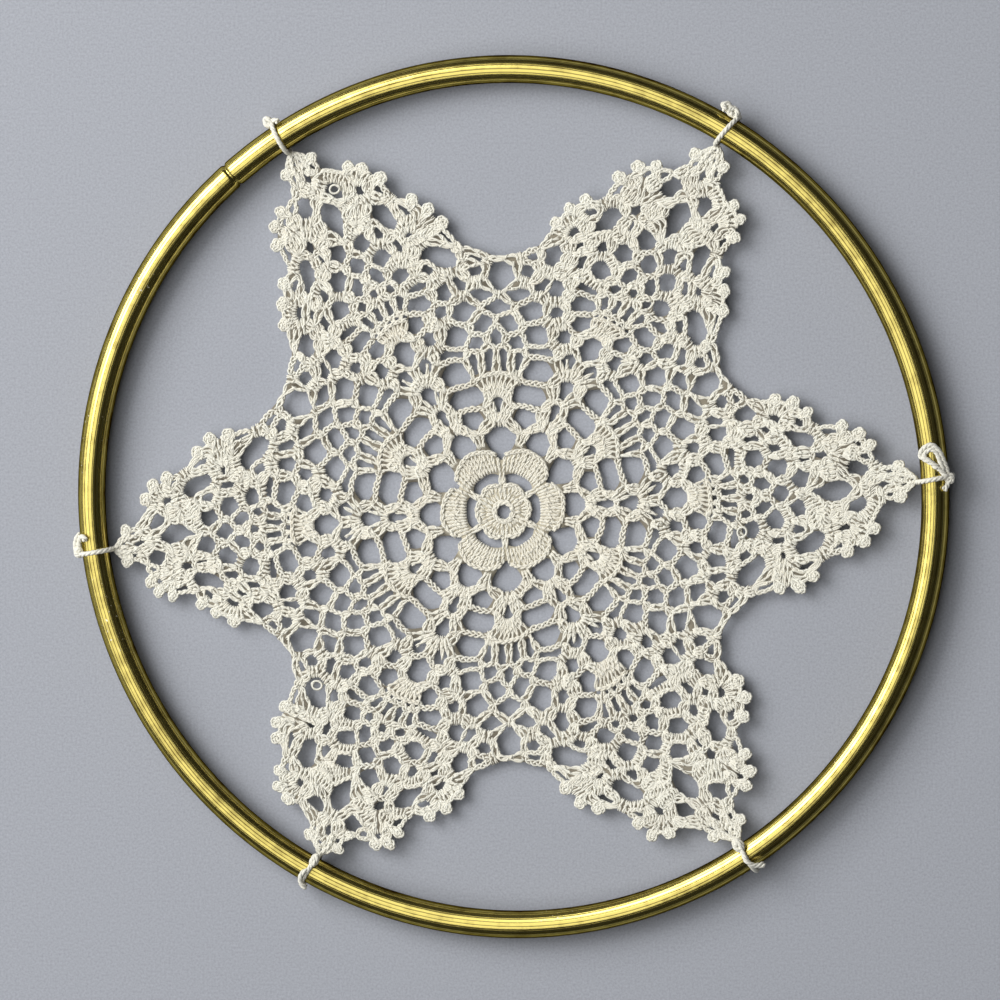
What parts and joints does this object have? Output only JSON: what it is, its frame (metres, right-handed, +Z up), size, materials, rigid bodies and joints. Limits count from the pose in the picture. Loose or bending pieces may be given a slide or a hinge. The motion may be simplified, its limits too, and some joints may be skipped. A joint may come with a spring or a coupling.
{
  "type": "crochet lace doily on a brass hoop",
  "caption": "Star-shaped crochet lace doily with picot edges, stretched flat inside a round brass hoop and held by short string ties",
  "frame": {"origin": "centre of the hoop, on the surface that the piece lies on", "axes": "+Z up, out of the face that shows; +X to the right of the piece as seen from above; +Y to its top"},
  "size_m": [0.2565, 0.254, 0.0124],
  "materials": {
    "lace": "matte ivory crochet cotton",
    "ring": "polished brass plate, slightly worn",
    "string": "matte cotton string"
  },
  "bodies": {
    "root": {"doily": "lace", "hoop": "ring", "tie_right": "string", "tie_upper_right": "string", "tie_upper_left": "string", "tie_left": "string", "tie_lower_left": "string", "tie_lower_right": "string"}
  },
  "joints": []
}
